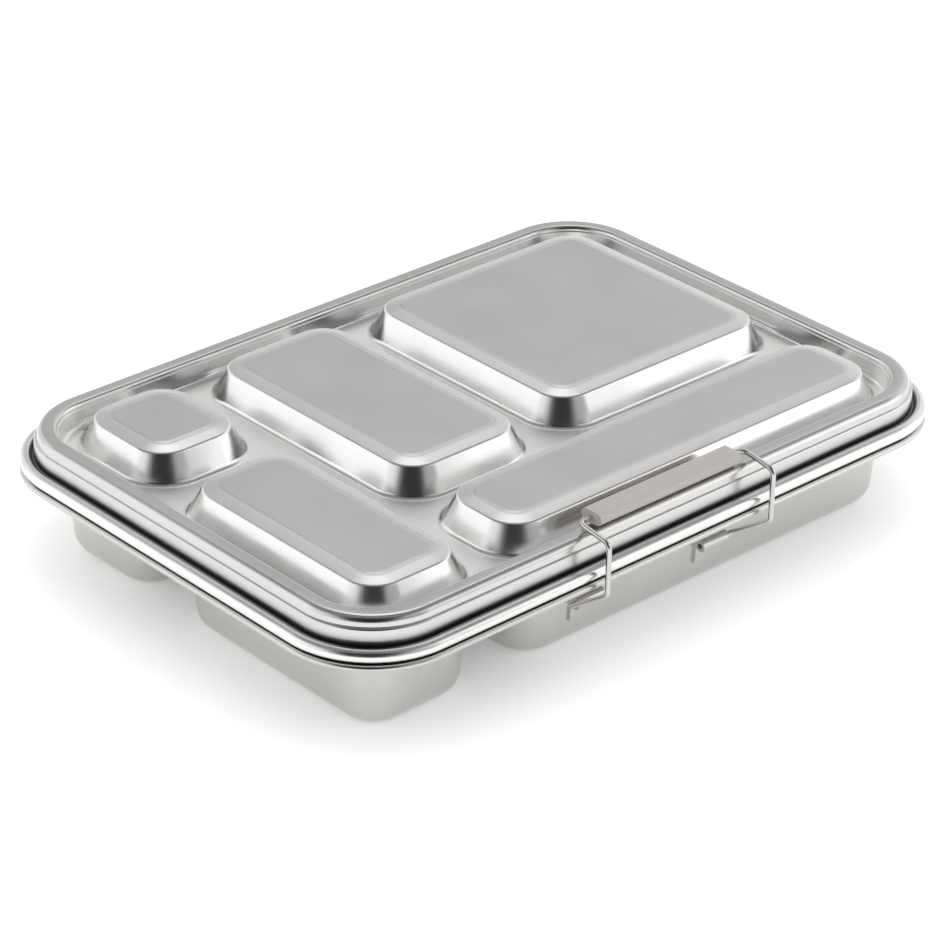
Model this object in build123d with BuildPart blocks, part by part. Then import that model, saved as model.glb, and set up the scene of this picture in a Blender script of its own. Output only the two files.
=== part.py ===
"""Five-compartment steel lunch box with a hinged lid and a swinging wire latch.

Millimetres, +Z up.  The origin is on the table under the middle of the box,
X runs along the long latch side and the latch is on the -Y side.
"""
import os
from math import atan2, cos, degrees, radians, sin, tan

from build123d import *

# ---------------------------------------------------------------- overall size
LENGTH = 259.4              # over the rolled edges, along X
WIDTH = 184.4               # over the rolled edges, along Y
TRAY_DEPTH = 31.5           # table to the top of the tray's flange
RIM_CORNER_R = 31.8         # plan radius of the rolled edge
SHEET = 0.6                 # steel sheet of tray and lid

# ---------------------------------------------------------------- tray
TRAY_BEAD_R = 1.0           # rolled edge of the tray
LAND_STEP = 3.8             # raised land above the flange
LAND_INSET = 5.4            # land edge behind the rolled edge
LAND_DRAFT = 12.0
LAND_EDGE_R = 1.5
WELL_DRAFT = 4.0
WELL_CORNER_R = 15.0
WELL_FLOOR_R = 7.0
WELL_LIP_R = 2.5

# compartments, measured where their walls meet the land
END_MARGIN = 15.5           # rolled edge to a compartment, at the short sides
SIDE_MARGIN = 14.4          # the same at the long sides
PARTITION = 13.4            # land between two compartments
LEFT_COLUMN = 47.4          # the two compartments at the left
MIDDLE_COLUMN = 52.4        # the fruit compartment
SNACK_ROW = 49.0
LONG_ROW = 40.6             # the long compartment at the front

# ---------------------------------------------------------------- lid
LID_BEAD_R = 2.2            # rolled edge of the lid
SEAM = 0.4                  # open line between the two rolled edges
GROOVE_R = 0.3              # inside of the bend between the rolled edge and the ridge
GROOVE_START = 30.0         # where the rolled edge turns into the groove, above level
DECK_GAP = 0.7              # air between the land and the lid's deck
RIDGE_HEIGHT = 7.9          # ridge above the deck
RIDGE_WIDTH = 6.3
RIDGE_OUTER_DRAFT = 2.5
RIDGE_INNER_DRAFT = 8.0
RIDGE_EDGE_R = 2.4
STEP_DROP = 3.3             # small step round the ridge, below its top
STEP_WIDTH = 0.9
STEP_EDGE_R = 0.7
DECK_EDGE_R = 1.6
DOME_HEIGHT = 10.4          # flat dome tops above the deck
DOME_BAND = 6.6             # gently sloping band round a flat top
DOME_BAND_DROP = 1.15
DOME_SLOPE = 25.7           # dome side from the vertical
DOME_EDGE_R = 1.5
DOME_FOOT_R = 2.2
DOME_CORNER_R = 4.0         # plan corner of the flat dome top

# flat dome tops inside their compartments: left, right, front, back
SNACK_DOME = (15.9, 10.2, 10.0, 13.2)
FRUIT_DOME = (8.5, 9.1, 6.1, 13.5)
MAIN_DOME = (9.4, 13.5, 9.2, 13.8)
SIDE_DOME = (13.1, 10.4, 13.3, 8.3)
LONG_DOME = (8.2, 13.1, 13.2, 9.0)

# ---------------------------------------------------------------- wire latch
WIRE_R = 0.85
WIRE_BEND_R = 2.6
WIRE_CLEARANCE = 0.06
LATCH_HALF = 35.1           # wire legs either side of the middle
PIVOT_DROP = 14.9           # wire's feet below the tray's flange
LEG_DROP = 3.5              # start of the upright legs below the flange
ARM_DROP = 1.9              # top of the legs below the top run
ARM_INSET = 10.0            # top run behind the rolled edge
FOOT_LENGTH = 11.5
SLEEVE_END = 5.1            # bare wire between a leg and the grip
SLEEVE_WIDTH = 8.4
SLEEVE_THICK = 4.1
SLEEVE_GAP = 0.95           # air between the grip and the lid's ridge
BRACKET_WIDTH = 11.0
BRACKET_GAP = 0.1           # bracket's side to the start of the wire's bend
BRACKET_DROP = 7.1          # bracket's lower end below the wire's feet
BARREL_WALL = 1.09
PLATE = 0.8                 # sheet of brackets and hinge leaves

# ---------------------------------------------------------------- rear hinges
HINGE_X = 62.0
HINGE_WIDTH = 26.0
HINGE_MIDDLE = 11.0         # width of the lid knuckle
PIN_R = 0.95
PIN_CLEARANCE = 0.05
KNUCKLE_WALL = 0.9
KNUCKLE_GAP = 0.35
RIM_GAP = 0.2               # air between the rolled edges and the knuckles
PIN_HEAD_LIP = 0.55
PIN_HEAD_T = 0.6

# ---------------------------------------------------------------- derived
HALF_L = LENGTH / 2
HALF_W = WIDTH / 2
TRAY_FLANGE_Z = TRAY_DEPTH
TRAY_BEAD_Z = TRAY_FLANGE_Z - TRAY_BEAD_R
LAND_Z = TRAY_FLANGE_Z + LAND_STEP
LID_BEAD_Z = TRAY_FLANGE_Z + SEAM + LID_BEAD_R
LID_FLANGE_Z = LID_BEAD_Z + LID_BEAD_R
DECK_Z = LAND_Z + DECK_GAP + SHEET
RIDGE_Z = DECK_Z + RIDGE_HEIGHT
STEP_Z = RIDGE_Z - STEP_DROP
GROOVE_REACH = LID_BEAD_R + GROOVE_R
GROOVE_INSET = LID_BEAD_R + GROOVE_REACH * cos(radians(GROOVE_START))
GROOVE_Z = LID_BEAD_Z + GROOVE_REACH * sin(radians(GROOVE_START))
RIDGE_INSET = GROOVE_INSET + GROOVE_R
DOME_TOP_Z = DECK_Z + DOME_HEIGHT
KNUCKLE_R = PIN_R + PIN_CLEARANCE + KNUCKLE_WALL
HINGE_Y = HALF_W + RIM_GAP + KNUCKLE_R
HINGE_Z = TRAY_FLANGE_Z + SEAM / 2
SIDE_Y = HINGE_Y + KNUCKLE_R
LEG_Y = -(SIDE_Y - WIRE_R)
ARM_Y = -(HALF_W - ARM_INSET)
ARM_Z = RIDGE_Z + SLEEVE_GAP + SLEEVE_THICK / 2
LEG_TOP_Z = ARM_Z - ARM_DROP
LEG_LOW_Z = TRAY_FLANGE_Z - LEG_DROP
PIVOT_Z = TRAY_FLANGE_Z - PIVOT_DROP
SLEEVE_HALF = LATCH_HALF - SLEEVE_END
BARREL_R = WIRE_R + WIRE_CLEARANCE + BARREL_WALL
BRACKET_X = LATCH_HALF - WIRE_BEND_R - BRACKET_GAP - BRACKET_WIDTH / 2
BRACKET_LOW_Z = PIVOT_Z - BRACKET_DROP
WELL_SLOPE = tan(radians(WELL_DRAFT))

# edges of the compartments at the land
WELL_LEFT = -(HALF_L - END_MARGIN)
WELL_RIGHT = HALF_L - END_MARGIN
WELL_FRONT = -(HALF_W - SIDE_MARGIN)
WELL_BACK = HALF_W - SIDE_MARGIN
LEFT_END = WELL_LEFT + LEFT_COLUMN
MIDDLE_START = LEFT_END + PARTITION
MIDDLE_END = MIDDLE_START + MIDDLE_COLUMN
RIGHT_START = MIDDLE_END + PARTITION
SNACK_FRONT = WELL_BACK - SNACK_ROW
SIDE_BACK = SNACK_FRONT - PARTITION
LONG_BACK = WELL_FRONT + LONG_ROW
MAIN_FRONT = LONG_BACK + PARTITION
SNACK = (WELL_LEFT, LEFT_END, SNACK_FRONT, WELL_BACK)
FRUIT = (MIDDLE_START, MIDDLE_END, MAIN_FRONT, WELL_BACK)
MAIN = (RIGHT_START, WELL_RIGHT, MAIN_FRONT, WELL_BACK)
SIDE = (WELL_LEFT, LEFT_END, WELL_FRONT, SIDE_BACK)
LONG = (MIDDLE_START, WELL_RIGHT, WELL_FRONT, LONG_BACK)
WELLS = (SNACK, FRUIT, MAIN, SIDE, LONG)


def dome_top(well, inset):
    """Flat dome top that sits over a compartment."""
    x0, x1, y0, y1 = well
    left, right, front, back = inset
    return (x0 + left, x1 - right, y0 + front, y1 - back)


DOMES = (
    dome_top(SNACK, SNACK_DOME),
    dome_top(FRUIT, FRUIT_DOME),
    dome_top(MAIN, MAIN_DOME),
    dome_top(SIDE, SIDE_DOME),
    dome_top(LONG, LONG_DOME),
)


def wall_y(z):
    """Outside of the front compartment wall at height z."""
    return WELL_FRONT + (LAND_Z - z) * WELL_SLOPE


PIVOT_Y = wall_y(PIVOT_Z) - PLATE - BARREL_R + 0.4


def ridge_y(z):
    """Outside of the lid ridge's long wall at height z."""
    return HALF_W - RIDGE_INSET - (z - GROOVE_Z) * tan(radians(RIDGE_OUTER_DRAFT))


def shift(turn, inset):
    """How far a sharp bend moves sideways when the sheet is followed from its far side."""
    return inset * tan(radians(turn / 2))


def other_face(first, second, inset):
    """Where a corner of the sheet lies on its other face: how far in and how far down.

    first and second are the slopes of its two sides in degrees below level.
    """
    a = radians(first)
    b = radians(second)
    scale = inset / (1 + cos(a - b))
    return scale * (sin(a) + sin(b)), scale * (cos(a) + cos(b))


def block(low, high, z_low, z_high):
    """Ruled solid between two rounded rectangles, each x0, x1, y0, y1, corner radius."""
    with BuildPart() as made:
        for (x0, x1, y0, y1, corner), z in ((low, z_low), (high, z_high)):
            with BuildSketch(Plane.XY.offset(z)):
                with Locations(((x0 + x1) / 2, (y0 + y1) / 2)):
                    RectangleRounded(x1 - x0, y1 - y0, corner)
        loft(ruled=True)
    return made.part


def outline(inset):
    """Rounded rectangle that lies inside the rolled edge by inset."""
    half_l = HALF_L - inset
    half_w = HALF_W - inset
    return (-half_l, half_l, -half_w, half_w, RIM_CORNER_R - inset)


def grown(rectangle, amount):
    """The same rounded rectangle moved outwards on all sides."""
    x0, x1, y0, y1, corner = rectangle
    return (x0 - amount, x1 + amount, y0 - amount, y1 + amount, corner + amount)


def at_height(edges, z):
    """Edges that lie flat at height z."""
    return edges.filter_by_position(Axis.Z, z - 0.01, z + 0.01)


def rim_path(inset, z):
    """Closed path round the box, starting at the middle of the right-hand side."""
    x = HALF_L - inset
    y = HALF_W - inset
    r = RIM_CORNER_R - inset
    with BuildLine(Plane.XY.offset(z)) as path:
        Line((x, 0), (x, y - r))
        RadiusArc((x, y - r), (x - r, y), -r)
        Line((x - r, y), (r - x, y))
        RadiusArc((r - x, y), (-x, y - r), -r)
        Line((-x, y - r), (-x, r - y))
        RadiusArc((-x, r - y), (r - x, -y), -r)
        Line((r - x, -y), (x - r, -y))
        RadiusArc((x - r, -y), (x, r - y), -r)
        Line((x, r - y), (x, 0))
    return path.wire()


def tray_rim():
    """Flange with its edge rolled under, swept once round the box."""
    middle = SHEET / 2
    top = TRAY_FLANGE_Z - middle
    with BuildPart() as rim:
        with BuildSketch(Plane.XZ):
            with BuildLine():
                Line((HALF_L - LAND_INSET - SHEET, top), (HALF_L - TRAY_BEAD_R, top))
                CenterArc((HALF_L - TRAY_BEAD_R, TRAY_BEAD_Z), TRAY_BEAD_R - middle, 90, -290)
            trace(line_width=SHEET)
        sweep(path=rim_path(TRAY_BEAD_R, TRAY_BEAD_Z))
    return rim.part


def lid_rim():
    """Groove at the foot of the ridge and the rolled edge outside it."""
    middle = SHEET / 2
    roll = 270
    with BuildPart() as rim:
        with BuildSketch(Plane.XZ):
            with BuildLine():
                CenterArc((HALF_L - GROOVE_INSET, GROOVE_Z), GROOVE_R + middle, 180, 180 - GROOVE_START)
                CenterArc((HALF_L - LID_BEAD_R, LID_BEAD_Z), LID_BEAD_R - middle, 180 - GROOVE_START, -roll)
            trace(line_width=SHEET)
        sweep(path=rim_path(LID_BEAD_R, LID_BEAD_Z))
    return rim.part


# ================================================================ tray
LAND_RISE = LAND_Z - (TRAY_FLANGE_Z - SHEET)
LAND_LEAN = LAND_RISE * tan(radians(LAND_DRAFT))
WELL_DEPTH = LAND_Z
WELL_LEAN = WELL_DEPTH * WELL_SLOPE


def land_block(inset, z_low):
    """Raised land; with inset = SHEET it is the hollow under it."""
    move = shift(90 - LAND_DRAFT, inset)
    low = outline(LAND_INSET + move)
    high = outline(LAND_INSET + move + LAND_LEAN)
    with BuildPart() as land:
        add(block(low, high, z_low, z_low + LAND_RISE))
        fillet(at_height(land.edges(), z_low + LAND_RISE), LAND_EDGE_R - inset)
    return land.part


def well_block(x0, x1, y0, y1, inset):
    """One compartment's outside; with inset = SHEET it is the space inside it."""
    side = SHEET if inset else 0.0
    high = grown((x0, x1, y0, y1, WELL_CORNER_R), -side)
    low = grown(high, -(WELL_DEPTH - inset) * WELL_SLOPE)
    with BuildPart() as well:
        add(block(low, high, inset, LAND_Z))
        fillet(at_height(well.edges(), inset), WELL_FLOOR_R - inset)
    return well.part


def make_tray():
    hollow = land_block(SHEET, TRAY_FLANGE_Z - 2 * SHEET)
    for x0, x1, y0, y1 in WELLS:
        hollow = hollow - well_block(x0, x1, y0, y1, 0.0)
    with BuildPart() as pressed:
        add(land_block(0.0, TRAY_FLANGE_Z - SHEET))
        for x0, x1, y0, y1 in WELLS:
            add(well_block(x0, x1, y0, y1, 0.0))
        add(hollow, mode=Mode.SUBTRACT)
        for x0, x1, y0, y1 in WELLS:
            add(well_block(x0, x1, y0, y1, SHEET), mode=Mode.SUBTRACT)
        mouths = at_height(pressed.edges(), LAND_Z)
        mouths = [e for e in mouths if abs(e.center().X) < WELL_RIGHT]
        mouths = [e for e in mouths if abs(e.center().Y) < WELL_BACK]
        necks = at_height(pressed.edges(), LAND_Z - SHEET)
        necks = [e for e in necks if abs(e.center().X) < HALF_L - END_MARGIN / 2]
        necks = [e for e in necks if abs(e.center().Y) < HALF_W - SIDE_MARGIN / 2]
        fillet(necks, WELL_LIP_R - SHEET)
        fillet(mouths, WELL_LIP_R)
        add(tray_rim())
    return pressed.part


tray = make_tray()
tray.label = "tray"


# ================================================================ lid
RIDGE_TAN = tan(radians(RIDGE_OUTER_DRAFT))
RIDGE_OUTSIDE = RIDGE_INSET + STEP_WIDTH + (RIDGE_Z - GROOVE_Z) * RIDGE_TAN
DECK_DEPTH = RIDGE_Z - DECK_Z
RECESS_LEAN = DECK_DEPTH * tan(radians(RIDGE_INNER_DRAFT))
DOME_SPREAD = (DOME_HEIGHT - DOME_BAND_DROP) * tan(radians(DOME_SLOPE))
BAND_TILT = degrees(atan2(DOME_BAND_DROP, DOME_BAND))
SIDE_TILT = 90 - DOME_SLOPE


def wall_block(inset, top):
    """Space inside a wall that leans in from inset at the groove up to the height top."""
    return block(outline(inset), outline(inset + (top - GROOVE_Z) * RIDGE_TAN), GROOVE_Z, top)


def dome_block(x0, x1, y0, y1, inset):
    """One dome; with inset = SHEET it is the hollow under it."""
    flat_in, flat_down = other_face(0, BAND_TILT, inset)
    edge_in, edge_down = other_face(BAND_TILT, SIDE_TILT, inset)
    foot_in, foot_down = other_face(SIDE_TILT, 0, inset)
    outer = (x0, x1, y0, y1, DOME_CORNER_R)
    flat = grown(outer, -flat_in)
    edge = grown(outer, DOME_BAND - edge_in)
    foot = grown(outer, DOME_BAND + DOME_SPREAD - foot_in)
    edge_z = DOME_TOP_Z - DOME_BAND_DROP - edge_down
    with BuildPart() as dome:
        add(block(foot, edge, DECK_Z - foot_down, edge_z))
        add(block(edge, flat, edge_z, DOME_TOP_Z - flat_down))
        fillet(at_height(dome.edges(), edge_z), DOME_EDGE_R - inset)
    return dome.part


def lid_form(inset):
    """Solid under the lid sheet; with inset = SHEET it is the hollow below the sheet."""
    recess = RIDGE_OUTSIDE + RIDGE_WIDTH - shift(90 - RIDGE_INNER_DRAFT, inset)
    with BuildPart() as form:
        add(wall_block(RIDGE_INSET + inset, STEP_Z - inset))
        fillet(at_height(form.edges(), STEP_Z - inset), STEP_EDGE_R - inset)
        add(wall_block(RIDGE_INSET + STEP_WIDTH + inset, RIDGE_Z - inset))
        add(
            block(outline(recess + RECESS_LEAN), outline(recess), DECK_Z - inset, RIDGE_Z - inset),
            mode=Mode.SUBTRACT,
        )
        fillet(at_height(form.edges(), RIDGE_Z - inset), RIDGE_EDGE_R - inset)
        fillet(at_height(form.edges(), DECK_Z - inset), DECK_EDGE_R + inset)
        for x0, x1, y0, y1 in DOMES:
            add(dome_block(x0, x1, y0, y1, inset))
        feet = [e for e in at_height(form.edges(), DECK_Z - inset) if is_dome_foot(e)]
        fillet(feet, DOME_FOOT_R + inset)
    return form.part


def is_dome_foot(edge):
    """True for an edge where a dome meets the deck."""
    centre = edge.center()
    reach = DOME_BAND + DOME_SPREAD + 1.0
    for x0, x1, y0, y1 in DOMES:
        inside_x = x0 - reach < centre.X < x1 + reach
        inside_y = y0 - reach < centre.Y < y1 + reach
        if inside_x and inside_y and edge.length < 2 * (x1 - x0 + y1 - y0):
            near_x = min(abs(centre.X - x0), abs(centre.X - x1)) < reach
            near_y = min(abs(centre.Y - y0), abs(centre.Y - y1)) < reach
            if near_x or near_y:
                return True
    return False


def make_lid():
    with BuildPart() as pressed:
        add(lid_form(0.0))
        add(lid_form(SHEET), mode=Mode.SUBTRACT)
        add(lid_rim())
    return pressed.part


lid = make_lid()
lid.label = "lid"


# ================================================================ wire latch
def make_bail():
    """Round wire bent into a bail, with both feet turned towards the middle."""
    foot_end = LATCH_HALF - FOOT_LENGTH
    with BuildPart() as bail:
        with BuildLine() as bend:
            FilletPolyline(
                (-foot_end, PIVOT_Y, PIVOT_Z),
                (-LATCH_HALF, PIVOT_Y, PIVOT_Z),
                (-LATCH_HALF, LEG_Y, LEG_LOW_Z),
                (-LATCH_HALF, LEG_Y, LEG_TOP_Z),
                (-LATCH_HALF, ARM_Y, ARM_Z),
                (LATCH_HALF, ARM_Y, ARM_Z),
                (LATCH_HALF, LEG_Y, LEG_TOP_Z),
                (LATCH_HALF, LEG_Y, LEG_LOW_Z),
                (LATCH_HALF, PIVOT_Y, PIVOT_Z),
                (foot_end, PIVOT_Y, PIVOT_Z),
                radius=WIRE_BEND_R,
            )
        with BuildSketch(Plane((-foot_end, PIVOT_Y, PIVOT_Z), z_dir=(-1, 0, 0))):
            Circle(WIRE_R)
        sweep(path=bend.wire())
    return bail.part


def make_sleeve():
    """Soft grip moulded round the top run of the wire."""
    with BuildPart() as sleeve:
        with BuildSketch(Plane((-SLEEVE_HALF, ARM_Y, ARM_Z), x_dir=(0, 1, 0), z_dir=(1, 0, 0))):
            RectangleRounded(SLEEVE_WIDTH, SLEEVE_THICK, SLEEVE_THICK / 2 - 0.2)
            Circle(WIRE_R, mode=Mode.SUBTRACT)
        extrude(amount=2 * SLEEVE_HALF)
    return sleeve.part


def make_bracket(side):
    """Plate that lies on the front wall, rolled into a barrel round the wire's foot."""
    x_mid = side * BRACKET_X
    low_y = wall_y(BRACKET_LOW_Z)
    high_y = wall_y(PIVOT_Z + BARREL_R)
    with BuildPart() as bracket:
        with BuildSketch(Plane.YZ.offset(x_mid)):
            with BuildLine():
                Polyline(
                    (low_y, BRACKET_LOW_Z),
                    (high_y, PIVOT_Z + BARREL_R),
                    (PIVOT_Y, PIVOT_Z + BARREL_R),
                    (PIVOT_Y, PIVOT_Z),
                    (wall_y(PIVOT_Z) - PLATE, PIVOT_Z),
                    (low_y - PLATE, BRACKET_LOW_Z),
                    close=True,
                )
            make_face()
            with Locations((PIVOT_Y, PIVOT_Z)):
                Circle(BARREL_R)
                Circle(WIRE_R + WIRE_CLEARANCE, mode=Mode.SUBTRACT)
        extrude(amount=BRACKET_WIDTH / 2, both=True)
    return bracket.part


bail = make_bail()
bail.label = "latch_bail"
sleeve = make_sleeve()
sleeve.label = "latch_sleeve"
bracket_left = make_bracket(-1)
bracket_left.label = "latch_bracket_left"
bracket_right = make_bracket(1)
bracket_right.label = "latch_bracket_right"


# ================================================================ rear hinges
KNUCKLE_OUT_Y = HINGE_Y + KNUCKLE_R - PLATE / 2


def strap(points, bend_r, x_mid, width):
    """Bent sheet strip of the given width, drawn along its middle line in Y and Z."""
    with BuildPart() as strip:
        with BuildSketch(Plane.YZ.offset(x_mid)):
            with BuildLine():
                FilletPolyline(*points, radius=bend_r)
            trace(line_width=PLATE)
        extrude(amount=width / 2, both=True)
    return strip.part


def knuckle(x_mid, width):
    """Short barrel on the hinge line."""
    with BuildPart() as barrel:
        with BuildSketch(Plane.YZ.offset(x_mid)):
            with Locations((HINGE_Y, HINGE_Z)):
                Circle(KNUCKLE_R)
        extrude(amount=width / 2, both=True)
    return barrel.part


def pin_bore(x_mid):
    with BuildPart() as bore:
        with BuildSketch(Plane.YZ.offset(x_mid)):
            with Locations((HINGE_Y, HINGE_Z)):
                Circle(PIN_R + PIN_CLEARANCE)
        extrude(amount=HINGE_WIDTH, both=True)
    return bore.part


def make_lid_leaf(side):
    """Leaf on the ridge, one middle knuckle."""
    x_mid = side * HINGE_X
    pad_high = STEP_Z - STEP_EDGE_R - 0.2
    pad_low = LID_FLANGE_Z + 1.6
    proud = PLATE / 2 / cos(radians(RIDGE_OUTER_DRAFT))
    pad_line = (
        (ridge_y(pad_high) + proud, pad_high),
        (ridge_y(pad_low) + proud, pad_low),
    )
    arm_line = pad_line + (
        (HINGE_Y - 1.0, LID_FLANGE_Z + 0.9),
        (KNUCKLE_OUT_Y, LID_FLANGE_Z - 1.2),
        (KNUCKLE_OUT_Y, HINGE_Z),
    )
    with BuildPart() as leaf:
        add(strap(arm_line, 0.5, x_mid, HINGE_MIDDLE))
        with BuildSketch(Plane.YZ.offset(x_mid)):
            with BuildLine():
                Line(*pad_line)
            trace(line_width=PLATE)
        extrude(amount=HINGE_WIDTH / 2, both=True)
        add(knuckle(x_mid, HINGE_MIDDLE))
        add(pin_bore(x_mid), mode=Mode.SUBTRACT)
    return leaf.part


def make_tray_leaf(side):
    """Leaf under the land, with a knuckle at each end."""
    x_mid = side * HINGE_X
    pad_z = LAND_Z - SHEET - PLATE / 2
    pad_inner = WELL_BACK + WELL_LIP_R + 0.2
    pad_outer = HALF_W - LAND_INSET - 2.6
    under_z = TRAY_BEAD_Z - TRAY_BEAD_R - 0.7
    width = (HINGE_WIDTH - HINGE_MIDDLE) / 2 - KNUCKLE_GAP
    spacing = (HINGE_WIDTH - width) / 2
    line = (
        (pad_inner, pad_z),
        (pad_outer, pad_z),
        (pad_outer + 0.8, under_z),
        (KNUCKLE_OUT_Y, under_z),
        (KNUCKLE_OUT_Y, HINGE_Z),
    )
    with BuildPart() as leaf:
        for end in (-1, 1):
            add(strap(line, 0.5, x_mid + end * spacing, width))
            add(knuckle(x_mid + end * spacing, width))
        add(strap(line[:3], 0.5, x_mid, HINGE_WIDTH))
        add(pin_bore(x_mid), mode=Mode.SUBTRACT)
    return leaf.part


def make_pin(side):
    """Headed pin through the three knuckles."""
    x_mid = side * HINGE_X
    with BuildPart() as pin:
        with BuildSketch(Plane.YZ.offset(x_mid)):
            with Locations((HINGE_Y, HINGE_Z)):
                Circle(PIN_R)
        extrude(amount=HINGE_WIDTH / 2, both=True)
        for end in (-1, 1):
            face_x = x_mid + end * HINGE_WIDTH / 2
            with BuildSketch(Plane((face_x, HINGE_Y, HINGE_Z), z_dir=(end, 0, 0))):
                Circle(PIN_R + PIN_HEAD_LIP)
            extrude(amount=PIN_HEAD_T)
    return pin.part


lid_leaf_left = make_lid_leaf(-1)
lid_leaf_left.label = "lid_hinge_left"
lid_leaf_right = make_lid_leaf(1)
lid_leaf_right.label = "lid_hinge_right"
tray_leaf_left = make_tray_leaf(-1)
tray_leaf_left.label = "tray_hinge_left"
tray_leaf_right = make_tray_leaf(1)
tray_leaf_right.label = "tray_hinge_right"
pin_left = make_pin(-1)
pin_left.label = "hinge_pin_left"
pin_right = make_pin(1)
pin_right.label = "hinge_pin_right"

# ================================================================ files
os.makedirs("parts", exist_ok=True)
export_step(tray, "parts/tray.step")
export_step(lid, "parts/lid.step")
export_step(bail, "parts/latch_bail.step")
export_step(sleeve, "parts/latch_sleeve.step")
export_step(bracket_left, "parts/latch_bracket_left.step")
export_step(bracket_right, "parts/latch_bracket_right.step")
export_step(lid_leaf_left, "parts/lid_hinge_left.step")
export_step(lid_leaf_right, "parts/lid_hinge_right.step")
export_step(tray_leaf_left, "parts/tray_hinge_left.step")
export_step(tray_leaf_right, "parts/tray_hinge_right.step")
export_step(pin_left, "parts/hinge_pin_left.step")
export_step(pin_right, "parts/hinge_pin_right.step")
for piece in (tray, lid, bail, sleeve, bracket_left, lid_leaf_left, tray_leaf_left, pin_left):
    print(piece.label, piece.is_valid, len(piece.solids()), round(piece.volume, 1), piece.bounding_box())
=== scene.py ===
# %% [markdown]
# # A steel lunch box with a wire latch
# The box is two thin steel pressings: a tray with five compartments and a lid with five
# domes. A bent wire with a soft grip holds them shut at the front, and two small hinges
# join them at the back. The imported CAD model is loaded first. It fixes every size and
# every moving body, and the pieces made here are dressed onto it.

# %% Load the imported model
from math import cos, radians, sin, tan

import bmesh
import bpy
from mathutils import Matrix, Vector


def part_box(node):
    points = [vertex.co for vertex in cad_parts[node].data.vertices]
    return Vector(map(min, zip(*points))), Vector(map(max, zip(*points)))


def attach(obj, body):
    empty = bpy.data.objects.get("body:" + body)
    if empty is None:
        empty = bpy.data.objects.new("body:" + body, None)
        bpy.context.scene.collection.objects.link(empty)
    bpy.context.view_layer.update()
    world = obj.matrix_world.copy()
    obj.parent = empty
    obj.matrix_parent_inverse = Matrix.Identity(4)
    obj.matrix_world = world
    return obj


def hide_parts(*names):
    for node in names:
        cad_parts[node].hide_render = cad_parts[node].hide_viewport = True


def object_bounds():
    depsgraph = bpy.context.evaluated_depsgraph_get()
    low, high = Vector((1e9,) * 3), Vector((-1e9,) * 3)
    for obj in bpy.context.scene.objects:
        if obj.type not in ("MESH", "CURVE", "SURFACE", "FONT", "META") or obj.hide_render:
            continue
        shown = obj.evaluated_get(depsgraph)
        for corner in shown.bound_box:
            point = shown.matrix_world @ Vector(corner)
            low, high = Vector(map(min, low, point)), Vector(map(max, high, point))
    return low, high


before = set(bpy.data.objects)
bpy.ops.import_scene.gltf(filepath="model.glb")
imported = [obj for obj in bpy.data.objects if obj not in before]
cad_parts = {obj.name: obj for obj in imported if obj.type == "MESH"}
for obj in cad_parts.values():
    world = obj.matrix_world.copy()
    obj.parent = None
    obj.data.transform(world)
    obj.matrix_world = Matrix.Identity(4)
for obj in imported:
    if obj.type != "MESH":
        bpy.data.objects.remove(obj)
cad_bounds = [[float(c) for c in corner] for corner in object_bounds()]
MM = 0.001
print("CAD box in mm:", [[round(c / MM, 1) for c in corner] for corner in cad_bounds])

# %% [markdown]
# ## Sizes that the lid and the tray share
# Both pressings have the same outline: a rectangle with round corners, in 0.6 mm sheet.
# Its length, width and heights are read from the CAD boxes. They could be typed in again,
# but read from the frame they can never drift away from it. Everything here is in
# millimetres, and only a finished mesh is scaled to metres.

# %% Outline and heights
lid_low, lid_high = (Vector(corner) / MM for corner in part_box("lid"))
tray_high = Vector(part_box("tray")[1]) / MM
HALF_L = lid_high.x
HALF_W = lid_high.y
RIM_CORNER_R = 31.8
RIM = (-HALF_L, HALF_L, -HALF_W, HALF_W, RIM_CORNER_R)
SHEET = 0.6
print("rim half sizes", round(HALF_L, 2), round(HALF_W, 2), "lid top at", round(lid_high.z, 2))

# %% [markdown]
# ## A pressing starts as one loop of edges
# A drawn steel part has the same section all the way round. It could be a curve with a
# bevel profile, but a curve pinches the section in tight corners. Here the section is
# carried round by bmesh instead, and the start is a plain quad: a vertex bevel rounds its
# four corners, and only the loop of edges is kept.

# %% First loop
def first_loop(bm, rect, z, segments):
    """Edges of a rounded rectangle: rect is x0, x1, y0, y1 and corner radius, in mm."""
    x0, x1, y0, y1, corner = rect
    quad = bmesh.ops.create_grid(bm, x_segments=1, y_segments=1, size=0.5)["verts"]
    bmesh.ops.scale(bm, vec=(x1 - x0, y1 - y0, 1), verts=quad)
    bmesh.ops.translate(bm, vec=((x0 + x1) / 2, (y0 + y1) / 2, z), verts=quad)
    rim = bmesh.ops.bevel(bm, geom=quad, offset=corner, segments=segments, profile=0.5,
                          affect="VERTICES", material=-1)["verts"]
    loop = list({edge for vert in rim for edge in vert.link_edges})
    bmesh.ops.delete(bm, geom=list(rim[0].link_faces), context="FACES_ONLY")
    return loop


trial = bmesh.new()
print("a first loop has", len(first_loop(trial, RIM, 0, 20)), "edges")
trial.free()

# %% [markdown]
# ## The loop is extruded along the section
# Each step of the section extrudes the last loop and moves the new one outwards and up.
# Insetting a face would do the same going inwards, but the rolled edge turns back under
# itself, and extruded loops can follow it there. Outwards is measured from the nearest
# point of the rectangle inside the round corners, so the corners stay round.

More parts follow.
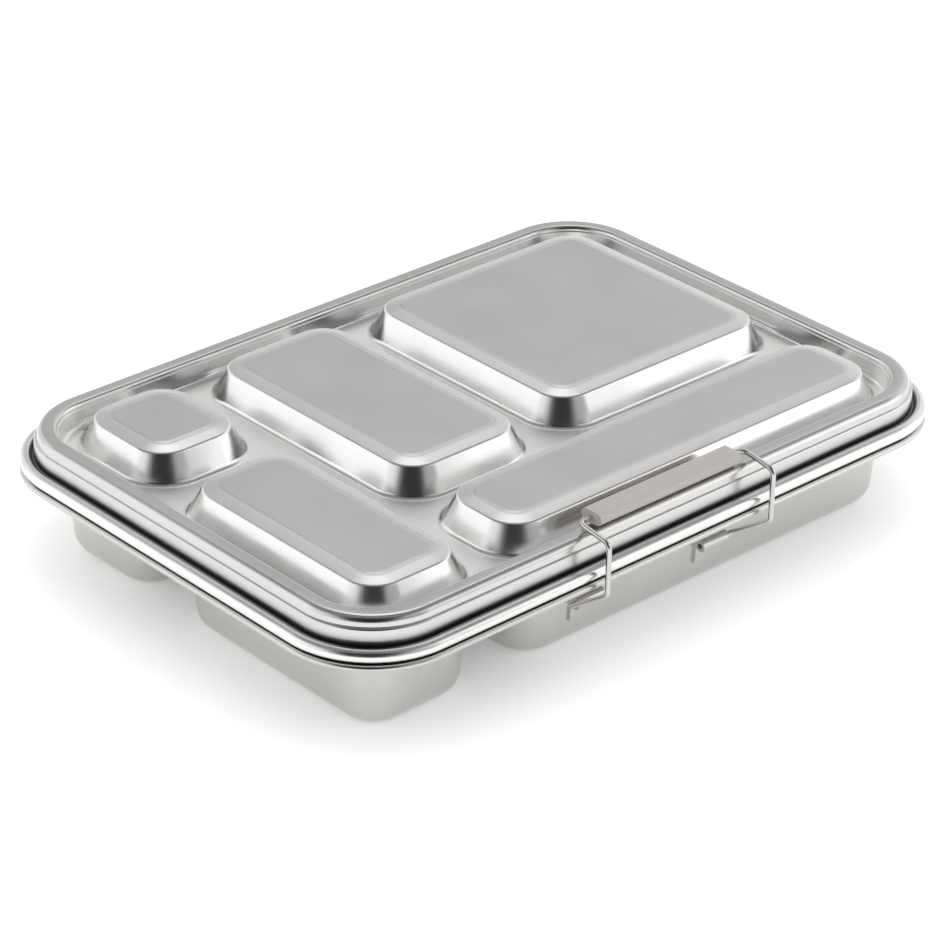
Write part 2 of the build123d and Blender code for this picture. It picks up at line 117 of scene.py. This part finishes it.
# %% Follow a section
def step_out(bm, loop, rect, out, up):
    """Extrudes a loop and moves it outwards in plan by out and upwards by up."""
    x0, x1, y0, y1, corner = rect
    made = bmesh.ops.extrude_edge_only(bm, edges=loop)["geom"]
    for vert in (part for part in made if isinstance(part, bmesh.types.BMVert)):
        near_x = min(max(vert.co.x, x0 + corner), x1 - corner)
        near_y = min(max(vert.co.y, y0 + corner), y1 - corner)
        away = Vector((vert.co.x - near_x, vert.co.y - near_y, 0)).normalized()
        vert.co += away * out + Vector((0, 0, up))
    return [part for part in made if isinstance(part, bmesh.types.BMEdge)]


def follow(bm, rect, section, segments):
    """Carries a section, (outward, z) points, round rect. Returns its first and last loop."""
    x0, x1, y0, y1, corner = rect
    out, z = section[0]
    start = (x0 - out, x1 + out, y0 - out, y1 + out, corner + out)
    loop = opening = first_loop(bm, start, z, segments)
    for here, there in zip(section, section[1:]):
        loop = step_out(bm, loop, rect, there[0] - here[0], there[1] - here[1])
    return opening, loop


trial = bmesh.new()
follow(trial, RIM, [(0, 0), (0, 1)], 20)
print("one step of a section makes", len(trial.faces), "faces")
trial.free()

# %% [markdown]
# ## Sections are drawn as arcs and rounded corners
# A sheet can't be folded to a sharp edge: every bend has a radius. A section is therefore
# a few corner points with one radius each, and the small arcs are worked out. The same
# bends could come from a bevel modifier, but then it would round every edge alike.

# %% Arcs and rounded corners
def arc(centre, radius, start, end, steps):
    """Points on an arc of a section, in degrees: 0 points outwards and 90 up."""
    turns = [radians(start + (end - start) * k / steps) for k in range(steps + 1)]
    return [(centre[0] + radius * cos(a), centre[1] + radius * sin(a)) for a in turns]


def rounded(points, radii, steps):
    """A section with its corners rounded, one radius for each inner point."""
    path = [tuple(points[0])]
    for before, corner, after, radius in zip(points, points[1:], points[2:], radii):
        tip = Vector(corner)
        one = (Vector(before) - tip).normalized()
        two = (Vector(after) - tip).normalized()
        half = one.angle(two) / 2
        reach = radius / tan(half)
        middle = tip + (one + two).normalized() * (radius / sin(half))
        start = tip + one * reach - middle
        turn = start.angle_signed(tip + two * reach - middle)
        for k in range(steps + 1):
            spoke = start.copy()
            spoke.rotate(Matrix.Rotation(-turn * k / steps, 2))
            path.append(tuple(middle + spoke))
    path.append(tuple(points[-1]))
    return path


print("a square corner of radius 1:", rounded([(0, 0), (2, 0), (2, 2)], [1], 2))

# %% [markdown]
# ## From bmesh to a finished piece
# The mesh is scaled to metres once, at the origin, so its object needs no transform. Then
# it rides on a moving body and replaces the plain CAD node that it stands for. The
# thickness is a Solidify modifier and not a second skin by hand, because the gauge is the
# same everywhere and a modifier keeps the drawn surface easy to edit.

# %% Finish a piece
def finish_piece(name, bm, body, stands_for, material):
    """Turns a bmesh in mm into a smooth piece in metres that rides on a body."""
    bmesh.ops.remove_doubles(bm, verts=bm.verts, dist=0.001)
    bmesh.ops.recalc_face_normals(bm, faces=bm.faces)
    bmesh.ops.scale(bm, vec=(MM, MM, MM), verts=bm.verts)
    mesh = bpy.data.meshes.new(name)
    bm.to_mesh(mesh)
    bm.free()
    for face in mesh.polygons:
        face.use_smooth = True
    mesh.materials.append(material)
    piece = bpy.data.objects.new(name, mesh)
    bpy.context.scene.collection.objects.link(piece)
    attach(piece, body)
    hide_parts(*stands_for)
    print(name, len(mesh.polygons), "faces")
    return piece


def add_sheet(piece):
    """Gives a pressing its sheet thickness, behind the drawn surface."""
    wall = piece.modifiers.new("sheet", "SOLIDIFY")
    wall.thickness = SHEET * MM
    wall.offset = -1


print("sheet thickness", SHEET, "mm")

# %% [markdown]
# ## Steel
# Pressed stainless sheet is a mirror that has been slightly blurred: full metal, a light
# grey colour, low roughness, and a very fine grain from the rolling mill. A painted
# texture could show that, but noise costs nothing to change. It is read in Object
# coordinates, so it stays on the sheet when a piece moves. A wide, weak noise shifts the
# colour and the roughness from place to place, as handling and polishing do.

# %% Steel material
GRAIN_SCALE = 2600
WIDE_SCALE = 45
GRAIN_DEPTH = 0.0002


def steel(name, colour, roughness, grain, spread=0.03):
    """A procedural steel: base colour, mean roughness, grain height, roughness spread."""
    material = bpy.data.materials.new(name)
    material.use_nodes = True
    nodes, links = material.node_tree.nodes, material.node_tree.links
    shader = nodes["Principled BSDF"]
    shader.inputs["Metallic"].default_value = 1.0
    place = nodes.new("ShaderNodeTexCoord")
    fine = nodes.new("ShaderNodeTexNoise")
    fine.inputs["Scale"].default_value = GRAIN_SCALE
    fine.inputs["Detail"].default_value = 3
    links.new(place.outputs["Object"], fine.inputs["Vector"])
    wide = nodes.new("ShaderNodeTexNoise")
    wide.inputs["Scale"].default_value = WIDE_SCALE
    wide.inputs["Detail"].default_value = 4
    links.new(place.outputs["Object"], wide.inputs["Vector"])
    tint = nodes.new("ShaderNodeMix")
    tint.data_type = "RGBA"
    tint.inputs["A"].default_value = (*(0.95 * c for c in colour), 1)
    tint.inputs["B"].default_value = (*(min(1, 1.04 * c) for c in colour), 1)
    links.new(wide.outputs["Fac"], tint.inputs["Factor"])
    links.new(tint.outputs["Result"], shader.inputs["Base Color"])
    rough = nodes.new("ShaderNodeMapRange")
    rough.inputs["From Min"].default_value = 0.35
    rough.inputs["From Max"].default_value = 0.65
    rough.inputs["To Min"].default_value = roughness - spread
    rough.inputs["To Max"].default_value = roughness + spread
    links.new(wide.outputs["Fac"], rough.inputs["Value"])
    links.new(rough.outputs["Result"], shader.inputs["Roughness"])
    bump = nodes.new("ShaderNodeBump")
    bump.inputs["Strength"].default_value = grain
    bump.inputs["Distance"].default_value = GRAIN_DEPTH
    links.new(fine.outputs["Fac"], bump.inputs["Height"])
    links.new(bump.outputs["Normal"], shader.inputs["Normal"])
    return material


satin = steel("steel_satin_flats", (0.63, 0.622, 0.612), 0.34, grain=0.10)
# The bands take a lighter copy of the satin steel: painted light for the brighter sky their
# tilt catches.
band = steel("steel_bands_painted_light", (0.715, 0.707, 0.695), 0.30, grain=0.08)
deck = steel("steel_soft_deck", (0.93, 0.925, 0.91), 0.42, grain=0.06)
bright = steel("steel_bright_slopes", (0.80, 0.795, 0.785), 0.235, grain=0.04, spread=0.04)
drawn = steel("steel_drawn_walls", (0.60, 0.59, 0.572), 0.24, grain=0.04)
wire = steel("steel_drawn_wire", (0.60, 0.60, 0.58), 0.20, grain=0.03)
print("steels:", [m.name for m in (satin, band, deck, bright, drawn, wire)])

# %% [markdown]
# ## Painted shade in the groove
# A thin groove runs round the lid under its ridge, and it lies in shade. More geometry
# would not show that shade, and a second colour with a hard edge would look painted on, so
# a smooth ramp over the height paints the shade into the same steel, darker at the bottom.

# %% Groove steel with painted shade
GROOVE_SHADE_DEEPEST_Z = 0.0352
# Painted shade: the height where it is deepest and where it ends, in metres, its near-black
# tone, and the share of the steel's own colour left at the deepest point.
GROOVE_SHADE_TOP_Z = 0.0398
PAINTED_SHADE_TONE = 0.02
SHADE_BASE_SHARE = 0.25


def paint_groove_shade(material, low, high):
    """Paints shade into a steel's colour towards the bottom of a groove, between two heights in
    metres.
    """
    nodes, links = material.node_tree.nodes, material.node_tree.links
    shader = nodes["Principled BSDF"]
    source = shader.inputs["Base Color"].links[0].from_socket
    place = nodes.new("ShaderNodeTexCoord")
    split = nodes.new("ShaderNodeSeparateXYZ")
    links.new(place.outputs["Object"], split.inputs["Vector"])
    ramp = nodes.new("ShaderNodeMapRange")
    ramp.interpolation_type = "SMOOTHSTEP"
    ramp.inputs["From Min"].default_value = low
    ramp.inputs["From Max"].default_value = high
    ramp.inputs["To Min"].default_value = SHADE_BASE_SHARE
    ramp.inputs["To Max"].default_value = 1.0
    links.new(split.outputs["Z"], ramp.inputs["Value"])
    # The painted shade: the steel's colour is mixed towards near black low in the groove.
    shaded = nodes.new("ShaderNodeMix")
    shaded.data_type = "RGBA"
    shaded.inputs["A"].default_value = (PAINTED_SHADE_TONE, PAINTED_SHADE_TONE, PAINTED_SHADE_TONE, 1)
    links.new(ramp.outputs["Result"], shaded.inputs["Factor"])
    links.new(source, shaded.inputs["B"])
    links.new(shaded.outputs["Result"], shader.inputs["Base Color"])


# The groove's steel, with painted shade darkening it towards the bottom of the groove.
groove = steel("steel_groove_painted_shade", (0.63, 0.625, 0.615), 0.22, grain=0.03)
paint_groove_shade(groove, GROOVE_SHADE_DEEPEST_Z, GROOVE_SHADE_TOP_Z)
# Below this height the groove's colour carries painted shade.
print(groove.name, "is dull below", GROOVE_SHADE_TOP_Z, "m")

# %% [markdown]
# ## The section of the lid's rim
# From the outside in: a rolled edge that hides the cut sheet, a fine groove, and a tall
# ridge that stiffens the rim, with a small step on its outer wall, before the sheet drops
# to the recessed deck. Distances inwards are counted from the outline of the box.

# %% Rim section
LID_BEAD_R = 2.2
LID_BEAD_Z = lid_low.z + LID_BEAD_R
DOME_TOP_Z = lid_high.z
RIDGE_Z = DOME_TOP_Z - 2.5
DECK_Z = DOME_TOP_Z - 10.4
GROOVE_R = 0.3
GROOVE_START = radians(30)
OUTER_LEAN = tan(radians(2.5))
STEP_WIDTH = 0.9
STEP_Z = RIDGE_Z - 3.3
RIDGE_WIDTH = 6.2

bend_out = LID_BEAD_R + GROOVE_R
groove_x = -LID_BEAD_R - bend_out * cos(GROOVE_START)
groove_z = LID_BEAD_Z + bend_out * sin(GROOVE_START)
WALL_IN = -groove_x + GROOVE_R
STEP_IN = WALL_IN + (STEP_Z - groove_z) * OUTER_LEAN
CREST_IN = WALL_IN + STEP_WIDTH + (RIDGE_Z - groove_z) * OUTER_LEAN
RECESS_IN = CREST_IN + RIDGE_WIDTH

lid_curl = arc((-LID_BEAD_R, LID_BEAD_Z), LID_BEAD_R, -120, 150, 30)
groove_bend = arc((groove_x, groove_z), GROOVE_R, -30, -180, 8)
ridge_points = [
    groove_bend[-1],
    (-STEP_IN, STEP_Z),
    (-STEP_IN - STEP_WIDTH, STEP_Z),
    (-CREST_IN, RIDGE_Z),
    (-RECESS_IN, RIDGE_Z),
    (-RECESS_IN - 0.15, RIDGE_Z - 1.7),
    (-RECESS_IN - 0.5, RIDGE_Z - 1.75),
    (-RECESS_IN - 1.2, DECK_Z),
    (-RECESS_IN - 3.1, DECK_Z),
]
ridge_radii = [0.7, 0.3, 2.3, 1.45, 0.15, 0.3, 1.6]
ridge_line = rounded(ridge_points, ridge_radii, steps=7)
rim_section = lid_curl + groove_bend[1:] + ridge_line[1:]
print(len(rim_section), "points in the rim section")

# %% [markdown]
# ## The section of a dome
# Each dome has steep sides, a band that falls a little towards the edge, and a flat top
# with a fine crease round it. Outwards is counted from the edge of the flat. The flat
# could be made with an inset, but as part of the section its crease is exact.

# %% Dome section
BAND_WIDTH = 6.6
BAND_DROP = 1.15
BAND_Z = DOME_TOP_Z - BAND_DROP
SIDE_LEAN = tan(radians(25.7))
FOOT_OUT = BAND_WIDTH + (BAND_Z - DECK_Z) * SIDE_LEAN

dome_points = [
    (FOOT_OUT + 1.9, DECK_Z),
    (FOOT_OUT, DECK_Z),
    (BAND_WIDTH, BAND_Z),
    (2.4, DOME_TOP_Z - 0.30),
    (1.5, DOME_TOP_Z - 0.24),
    (0.5, DOME_TOP_Z),
    (-1.2, DOME_TOP_Z),
]
dome_radii = [2.2, 1.3, 4.0, 0.8, 0.8]
dome_section = rounded(dome_points, dome_radii, steps=7)
print(len(dome_section), "points in a dome section, foot", round(FOOT_OUT, 2), "mm out")

# %% [markdown]
# ## The compartments
# Five compartments share the box: two in a left column, one in the middle, a large one at
# the back right and a long one along the front. Typing twenty corner places would hide how
# they relate, so they are worked out from the outline, the margins, the partitions and the
# size of each row and column. The domes of the lid follow from them.

# %% Compartments
END_MARGIN = 15.5
SIDE_MARGIN = 14.4
PARTITION = 13.4
LEFT_COLUMN = 47.4
MIDDLE_COLUMN = 52.4
SNACK_ROW = 49.0
LONG_ROW = 40.6

left = -HALF_L + END_MARGIN
left_end = left + LEFT_COLUMN
middle = left_end + PARTITION
middle_end = middle + MIDDLE_COLUMN
large = middle_end + PARTITION
large_end = HALF_L - END_MARGIN
front = -HALF_W + SIDE_MARGIN
front_end = front + LONG_ROW
rear = front_end + PARTITION
rear_end = HALF_W - SIDE_MARGIN
snack_front = rear_end - SNACK_ROW
side_end = snack_front - PARTITION
WELLS = {
    "snack": (left, left_end, snack_front, rear_end),
    "fruit": (middle, middle_end, rear, rear_end),
    "main": (large, large_end, rear, rear_end),
    "side": (left, left_end, front, side_end),
    "long": (middle, large_end, front, front_end),
}
for name, outline in WELLS.items():
    print(name, "compartment", [round(v, 1) for v in outline])

# %% [markdown]
# ## The lid mesh
# The rim is one followed section and every dome is another. What is left between their
# loops is the flat deck. triangle_fill closes it with the dome feet as holes, which needs
# no cutting. A Boolean would work too, but it leaves slivers where curves meet a plane.

# %% Lid mesh
DOME_INSETS = {
    # left, right, front, back: from a compartment's wall to the flat of its dome
    "snack": (15.9, 10.2, 10.0, 13.2),
    "fruit": (8.5, 9.1, 6.1, 13.5),
    "main": (9.4, 13.5, 9.2, 13.8),
    "side": (13.1, 10.4, 13.3, 8.3),
    "long": (8.2, 13.1, 13.2, 9.0),
}
DOME_CORNER_R = 4.0


def dome_flat(name):
    """The flat top of a dome, x0, x1, y0, y1, inside the outline of its compartment."""
    x0, x1, y0, y1 = WELLS[name]
    from_left, from_right, from_front, from_back = DOME_INSETS[name]
    return x0 + from_left, x1 - from_right, y0 + from_front, y1 - from_back


def make_lid():
    """The rim, five domes and the deck between them, in one bmesh."""
    bm = bmesh.new()
    _, deck_edge = follow(bm, RIM, rim_section, 20)
    openings = list(deck_edge)
    tops = []
    for name in WELLS:
        foot, top = follow(bm, (*dome_flat(name), DOME_CORNER_R), dome_section, 12)
        openings += foot
        tops.append(top)
    bmesh.ops.triangle_fill(bm, edges=openings, use_beauty=True, normal=(0, 0, 1))
    for top in tops:
        bmesh.ops.edgeloop_fill(bm, edges=top)
    return bm


lid_skin = finish_piece("lid_pressing", make_lid(), "lid", ["lid"], bright)
print("domes over:", ", ".join(DOME_INSETS))

# %% [markdown]
# ## Which steel goes where on the lid
# One press makes the whole lid, but it doesn't polish it evenly: the flats stay satin, the
# deck is softer, the slopes are stretched bright, and the rim is duller. The bands take a
# lighter copy of the steel, a painted light for the brighter sky their tilt catches, and the
# groove takes painted shade that deepens towards its bottom. Separate objects would leave
# seams, so the mesh keeps one skin and each face picks a material slot from where it lies.

# %% Lid finishes
BRIGHT, SATIN, GROOVE, DECK, BAND = range(5)
BEAD_INSET = 3.2
for extra in (satin, groove, deck, band):
    lid_skin.data.materials.append(extra)


def inset(x, y):
    """How far a point lies inside the rounded outline of the box, in mm."""
    past_x = max(abs(x) - HALF_L + RIM_CORNER_R, 0)
    past_y = max(abs(y) - HALF_W + RIM_CORNER_R, 0)
    corner = (past_x ** 2 + past_y ** 2) ** 0.5
    return min(HALF_L - abs(x), HALF_W - abs(y), RIM_CORNER_R - corner)


def lid_slot(centre, normal):
    """The material slot of one face of the lid."""
    x, y, z = centre
    # Rim and groove faces: their steel carries painted shade low in the groove.
    if BEAD_INSET < inset(x, y) < RECESS_IN:
        return GROOVE
    if normal.z > 0.95 and z > DOME_TOP_Z - 0.25:
        return SATIN
    # Band faces get the lighter steel, a painted light.
    if normal.z > 0.95 and z > DOME_TOP_Z - 1.4:
        return BAND
    if normal.z > 0.95 and abs(z - DECK_Z) < 0.2:
        return DECK
    return BRIGHT


for face in lid_skin.data.polygons:
    face.material_index = lid_slot(face.center / MM, face.normal)
add_sheet(lid_skin)
print("lid size in m", [round(v, 4) for v in lid_skin.dimensions])

# %% [markdown]
# ## The sections of the tray
# The tray has the same rolled edge, only slimmer, then a low land that the lid's deck
# sits over. Its compartments are drawn down from the land with a round lip, a slight
# taper that lets the punch out, and a wide radius at the floor that is easy to clean.

# %% Tray sections
TRAY_BEAD_R = 1.0
SEAM = 0.4
LAND_Z = tray_high.z
TRAY_FLANGE_Z = lid_low.z - SEAM
TRAY_BEAD_Z = TRAY_FLANGE_Z - TRAY_BEAD_R
LAND_IN = 5.4
LAND_TOP_IN = LAND_IN + (LAND_Z - TRAY_FLANGE_Z + SHEET) * tan(radians(12))
WELL_RUN = (LAND_Z - SHEET) * tan(radians(4))

tray_curl = arc((-TRAY_BEAD_R, TRAY_BEAD_Z), TRAY_BEAD_R, -200, 90, 20)
land_points = [
    (-TRAY_BEAD_R - 0.1, TRAY_FLANGE_Z),
    (-LAND_IN, TRAY_FLANGE_Z),
    (-LAND_TOP_IN, LAND_Z),
    (-LAND_TOP_IN - 1.8, LAND_Z),
]
land_line = rounded(land_points, [0.5, 1.5], steps=6)
well_points = [(2.9, LAND_Z), (0, LAND_Z), (-WELL_RUN, SHEET), (-WELL_RUN - 6.9, SHEET)]
well_section = rounded(well_points, [2.5, 6.4], steps=9)
print(len(tray_curl + land_line), "points in the land section,", len(well_section), "in a well")

# %% [markdown]
# ## The tray mesh
# The tray is built exactly like the lid: the outer section, then one followed section for
# each compartment, then the land filled between their mouths. The compartments' outlines
# are the outside of the steel, and the drawn surface is the inside, one sheet further in.

# %% Tray mesh
WELL_CORNER_R = 15.0


def make_tray():
    """The rolled edge, the land and five compartments, in one bmesh."""
    bm = bmesh.new()
    _, land_edge = follow(bm, RIM, tray_curl + land_line, 20)
    openings = list(land_edge)
    floors = []
    for x0, x1, y0, y1 in WELLS.values():
        inside = (x0 + SHEET, x1 - SHEET, y0 + SHEET, y1 - SHEET, WELL_CORNER_R - SHEET)
        mouth, floor = follow(bm, inside, well_section, 14)
        openings += mouth
        floors.append(floor)
    bmesh.ops.triangle_fill(bm, edges=openings, use_beauty=True, normal=(0, 0, 1))
    for floor in floors:
        bmesh.ops.edgeloop_fill(bm, edges=floor)
    return bm


tray_skin = finish_piece("tray_pressing", make_tray(), "base", ["tray"], drawn)
add_sheet(tray_skin)
print("tray size in m", [round(v, 4) for v in tray_skin.dimensions])

# %% [markdown]
# ## The grip
# The top run of the wire wears a moulded sleeve, soft and matte. Rubber could be a plain
# rough colour, but light enters it and comes out again a little further on, which softens
# its edges. So it gets some subsurface light, and a fine noise bump for its dry skin.

# %% Grip material
GRIP_COLOUR = (0.42, 0.395, 0.37, 1)

grip = bpy.data.materials.new("grip_soft_rubber")
grip.use_nodes = True
grip_nodes, grip_links = grip.node_tree.nodes, grip.node_tree.links
grip_shader = grip_nodes["Principled BSDF"]
grip_shader.inputs["Base Color"].default_value = GRIP_COLOUR
grip_shader.inputs["Roughness"].default_value = 0.42
grip_shader.inputs["Subsurface Weight"].default_value = 0.3
grip_shader.inputs["Subsurface Radius"].default_value = (0.002, 0.0015, 0.001)
grip_place = grip_nodes.new("ShaderNodeTexCoord")
grip_noise = grip_nodes.new("ShaderNodeTexNoise")
grip_noise.inputs["Scale"].default_value = 900
grip_noise.inputs["Detail"].default_value = 4
grip_bump = grip_nodes.new("ShaderNodeBump")
grip_bump.inputs["Strength"].default_value = 0.12
grip_bump.inputs["Distance"].default_value = GRAIN_DEPTH
grip_links.new(grip_place.outputs["Object"], grip_noise.inputs["Vector"])
grip_links.new(grip_noise.outputs["Fac"], grip_bump.inputs["Height"])
grip_links.new(grip_bump.outputs["Normal"], grip_shader.inputs["Normal"])
print("material", grip.name)

# %% [markdown]
# ## Wire, brackets and hinges
# These small fittings are exact already in CAD: round wire, bent plate, rolled barrels.
# Modelling them again would only add errors, so they keep their meshes and take a finish.

# %% Finish the CAD fittings
FINISHES = {
    "latch_sleeve": grip,
    "latch_bail": wire,
    "hinge_pin_left": wire,
    "hinge_pin_right": wire,
}
for name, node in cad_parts.items():
    if name not in ("lid", "tray"):
        node.data.materials.clear()
        node.data.materials.append(FINISHES.get(name, drawn))
print("finished", len(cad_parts) - 2, "CAD fittings")

# %% [markdown]
# ## The floor
# The box stands on a seamless pale floor. White paint alone goes grey in the shadow of
# the box, so the floor also gives off a little light of its own, as a lit table does.

# %% Floor
FLOOR_WHITE = 0.93
FLOOR_GLOW = 0.2

floor_bm = bmesh.new()
bmesh.ops.create_grid(floor_bm, x_segments=1, y_segments=1, size=6)
floor_mesh = bpy.data.meshes.new("floor")
floor_bm.to_mesh(floor_mesh)
floor_bm.free()
floor = bpy.data.objects.new("floor", floor_mesh)
bpy.context.scene.collection.objects.link(floor)
floor.location.z = cad_bounds[0][2]
floor_material = bpy.data.materials.new("floor_pale")
floor_material.use_nodes = True
floor_shader = floor_material.node_tree.nodes["Principled BSDF"]
floor_shader.inputs["Base Color"].default_value = (FLOOR_WHITE, FLOOR_WHITE, FLOOR_WHITE, 1)
floor_shader.inputs["Roughness"].default_value = 0.9
floor_shader.inputs["Specular IOR Level"].default_value = 0.0
floor_shader.inputs["Emission Color"].default_value = (1, 1, 1, 1)
floor_shader.inputs["Emission Strength"].default_value = FLOOR_GLOW
floor_mesh.materials.append(floor_material)
print("floor at", round(floor.location.z, 4))

# %% [markdown]
# ## Sky patches
# Polished steel shows the room around it, so the room is the light. Area lamps would do,
# but each has hard edges that the steel would draw. Here the World shader turns the
# direction of a ray into a brightness: each patch is a soft round area of sky.

# %% Patch helpers
world = bpy.data.worlds.new("studio")
bpy.context.scene.world = world
world.use_nodes = True
sky_nodes, sky_links = world.node_tree.nodes, world.node_tree.links
direction = sky_nodes.new("ShaderNodeTexCoord")


def facing(azimuth, elevation, inner, outer):
    """1 in a round patch of sky, 0 outside. Azimuth 0 is -Y, 90 is +X; all in degrees."""
    dot = sky_nodes.new("ShaderNodeVectorMath")
    dot.operation = "DOT_PRODUCT"
    a, e = radians(azimuth), radians(elevation)
    dot.inputs[1].default_value = (sin(a) * cos(e), -cos(a) * cos(e), sin(e))
    sky_links.new(direction.outputs["Generated"], dot.inputs[0])
    soft = sky_nodes.new("ShaderNodeMapRange")
    soft.interpolation_type = "SMOOTHSTEP"
    soft.inputs["From Min"].default_value = cos(radians(outer))
    soft.inputs["From Max"].default_value = cos(radians(inner))
    sky_links.new(dot.outputs["Value"], soft.inputs["Value"])
    return soft.outputs["Result"]


def mixed(below, above, amount):
    """above over below where amount is 1."""
    mix = sky_nodes.new("ShaderNodeMix")
    mix.data_type = "FLOAT"
    for socket, value in ((mix.inputs[2], below), (mix.inputs[3], above)):
        if isinstance(value, (int, float)):
            socket.default_value = value
        else:
            sky_links.new(value, socket)
    sky_links.new(amount, mix.inputs[0])
    return mix.outputs[0]


print("world", world.name)

# %% [markdown]
# ## The studio
# The patches give each surface of the box its tone. The ceiling is dim, which draws the
# dark line at the edge of each dome. A grey screen behind the box tones the flats, soft
# boxes to the left and right light the slopes, and the dark room behind the viewer shows
# in the near corners. Matte surfaces get an even light, so the floor stays white.

# %% Studio light
OPEN_SKY = 1.0
FILL = 1.2
PATCHES = (
    # brightness, azimuth, elevation, full within, gone beyond
    (0.30, 0, 90, 40, 54),        # ceiling
    (0.60, 146, 28, 8, 26),       # grey screen behind
    (1.7, 137, 54, 7, 16),        # high soft box behind
    (1.3, -140, 14, 14, 30),      # soft box on the left
    (0.45, 18, 14, 8, 26),        # gap at the front
    (1.7, 56, 14, 10, 26),        # soft box on the right
    (0.03, -43, 32, 20, 50),      # dark room behind the viewer
)

sky = OPEN_SKY
for brightness, *patch in PATCHES:
    sky = mixed(sky, brightness, facing(*patch))
ray = sky_nodes.new("ShaderNodeLightPath")
sky = mixed(sky, FILL, ray.outputs["Is Diffuse Ray"])
background = sky_nodes["Background"]
background.inputs["Color"].default_value = (1, 1, 1, 1)
sky_links.new(sky, background.inputs["Strength"])
print("studio light with", len(PATCHES), "patches")

# %% [markdown]
# ## The camera
# A long lens from over a metre away keeps the box's edges nearly parallel, so its shape
# reads clearly. The camera is placed by two angles and a distance from the point it looks
# at, which is easier to adjust than a position and a rotation.

# %% Camera
AZIMUTH, ELEVATION, ROLL = radians(-42.65), radians(28.80), radians(1.0)
SPAN = 1.14
AIM = Vector((-0.0378, -0.0377, DOME_TOP_Z * MM))
LENS = 142.3

back = Vector((sin(AZIMUTH) * cos(ELEVATION), -cos(AZIMUTH) * cos(ELEVATION), sin(ELEVATION)))
right = (-back).cross(Vector((0, 0, 1))).normalized()
up = right.cross(-back)
rolled_right = right * cos(ROLL) + up * sin(ROLL)
rolled_up = up * cos(ROLL) - right * sin(ROLL)
turn = Matrix((rolled_right, rolled_up, back)).transposed().to_4x4()
camera = bpy.data.objects.new("camera", bpy.data.cameras.new("camera"))
bpy.context.scene.collection.objects.link(camera)
camera.matrix_world = Matrix.Translation(AIM + back * SPAN) @ turn
camera.data.lens = LENS
camera.data.sensor_width = 36
camera.data.clip_end = 50
bpy.context.scene.camera = camera
bpy.context.scene.view_settings.view_transform = "Standard"
print("camera at", [round(c, 3) for c in camera.location])
